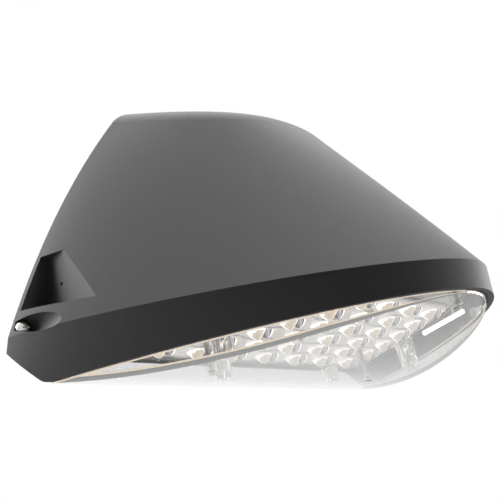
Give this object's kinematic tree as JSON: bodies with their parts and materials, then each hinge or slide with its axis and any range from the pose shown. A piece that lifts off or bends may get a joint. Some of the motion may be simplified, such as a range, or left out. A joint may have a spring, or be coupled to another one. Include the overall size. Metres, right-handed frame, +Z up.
{
  "type": "wall pack light",
  "caption": "Outdoor wall pack luminaire: tapered die-cast housing hung on a wall plate, with a tilted clear drop lens over a board of teardrop optics.",
  "frame": {"origin": "centre of the junction box on the wall surface, where the wiring enters", "axes": "+Y into the wall, -Y out of the wall towards the nose, +Z up, +X to the right as seen from the front"},
  "size_m": [0.432, 0.2589, 0.2226],
  "materials": {
    "bronze_powder_coat": "fine textured matt powder coat",
    "zinc_plated_steel": "zinc plated",
    "stainless_screw": "satin stainless steel",
    "clear_lens": "clear polycarbonate",
    "clear_optic": "clear acrylic",
    "white_board": "white solder mask",
    "light_source": "phosphor",
    "grey_pad": "matt",
    "silicone_gasket": "matt silicone",
    "black_foam": "closed-cell foam",
    "black_rubber": "matt",
    "white_nylon": "moulded",
    "driver_case": "satin",
    "black_resin_case": "moulded",
    "grey_terminal": "moulded",
    "supply_insulation": "wire insulation",
    "board_insulation": "wire insulation",
    "earth_green": "green passivated"
  },
  "bodies": {
    "wall_plate": {"wall_plate": "zinc_plated_steel", "wall_gasket": "black_foam", "wire_bushing": "black_rubber", "earth_screw": "earth_green"},
    "housing": {"housing": "bronze_powder_coat", "rim_gasket": "black_foam", "thermal_pad": "grey_pad", "led_board": "white_board", "led_chips": "light_source", "optic_sheet": "clear_optic", "engine_screws": "stainless_screw", "board_connector": "white_nylon", "drop_lens": "clear_lens", "lens_gasket": "silicone_gasket", "lens_screws": "stainless_screw", "driver_bracket": "zinc_plated_steel", "bracket_screws": "zinc_plated_steel", "driver": "driver_case", "surge_protector": "black_resin_case", "terminal_block": "grey_terminal", "input_leads": "supply_insulation", "output_leads": "board_insulation", "deck_grommet": "black_rubber"},
    "captive_screw_left": {"captive_screw_left": "stainless_screw"},
    "captive_screw_right": {"captive_screw_right": "stainless_screw"}
  },
  "joints": [
    {"name": "housing_swing", "type": "hinge", "parent": "wall_plate", "child": "housing", "pos_m": [0, -0.012, 0.1025], "axis": [-1, 0, 0], "range_deg": [0, 12]},
    {"name": "screw_left_slide", "type": "slide", "parent": "housing", "child": "captive_screw_left", "axis": [-0.0584, -0.9749, 0.2149], "range_m": [0, 0.0025]},
    {"name": "screw_right_slide", "type": "slide", "parent": "housing", "child": "captive_screw_right", "axis": [0.0584, -0.9749, 0.2149], "range_m": [0, 0.0025]}
  ]
}
